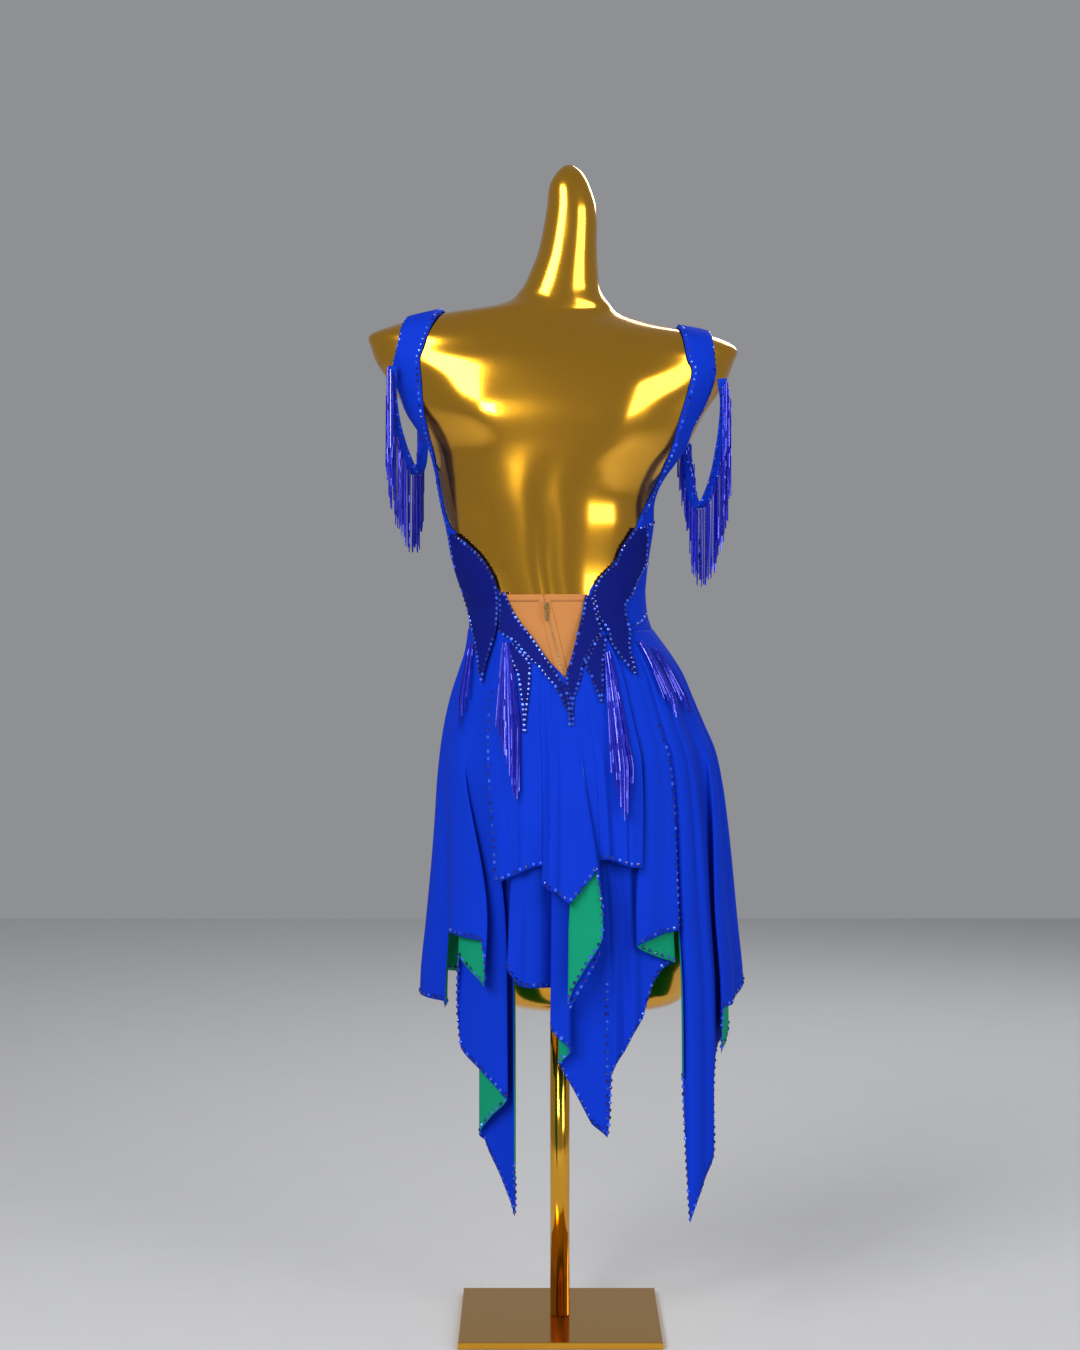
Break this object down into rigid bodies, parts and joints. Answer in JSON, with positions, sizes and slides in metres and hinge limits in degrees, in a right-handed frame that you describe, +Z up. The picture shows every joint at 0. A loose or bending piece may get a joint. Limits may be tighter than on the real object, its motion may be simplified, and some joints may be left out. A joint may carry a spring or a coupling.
{
  "type": "salsa dance dress on a dress form",
  "caption": "Backless royal-blue salsa dress with draped beaded sleeve bands, bead tassels and a handkerchief-hem skirt, on a gold limbless dress form with pole and square base.",
  "frame": {"origin": "middle of the base plate's underside", "axes": "+Z up, -Y the way the wearer faces, +X the wearer's left"},
  "size_m": [0.4661, 0.3311, 1.449],
  "materials": {
    "royal": "soft matt stretch jersey",
    "dark": "short velvety pile",
    "nude": "fine matt mesh",
    "beads": "bright cut-glass look",
    "form_gold": "glossy gold lacquer",
    "stand_gold": "polished",
    "zip_bronze": "aged bronze"
  },
  "bodies": {
    "dress_and_stand": {"base_plate": "stand_gold", "stand_pole": "stand_gold", "form_body": "form_gold", "bodice_back_left": "royal", "bodice_back_right": "royal", "bodice_front_left": "royal", "bodice_front_right": "royal", "insert_left": "nude", "insert_right": "nude", "zip_tape_left": "nude", "zip_tape_right": "nude", "zip_slider": "zip_bronze", "dark_panel_left": "dark", "dark_band_left": "dark", "dark_point_left": "dark", "dark_band_right": "dark", "dark_point_right": "dark", "dark_panel_right": "dark", "skirt_left_side": "royal", "skirt_left_point": "royal", "skirt_back_left": "royal", "skirt_back_centre": "royal", "skirt_back_right": "royal", "skirt_right_point": "royal", "skirt_right_side": "royal", "skirt_front_right": "royal", "skirt_front_centre": "royal", "skirt_front_left": "royal", "overlay_left": "royal", "overlay_centre": "royal", "overlay_right": "royal", "tassel_back_left": "beads", "tassel_back_right": "beads", "tassel_right_inner": "beads", "tassel_right_outer": "beads", "tassel_left_side": "beads", "sleeve_band_left": "royal", "sleeve_fringe_left": "beads", "sleeve_band_right": "royal", "sleeve_fringe_right": "beads"},
    "pull_tab": {"zip_pull": "zip_bronze"}
  },
  "joints": [
    {"name": "zip_pull_swing", "type": "hinge", "parent": "dress_and_stand", "child": "pull_tab", "pos_m": [0.0178, 0.09322, 0.903], "axis": [1, 0, 0], "range_deg": [0, 150]}
  ]
}
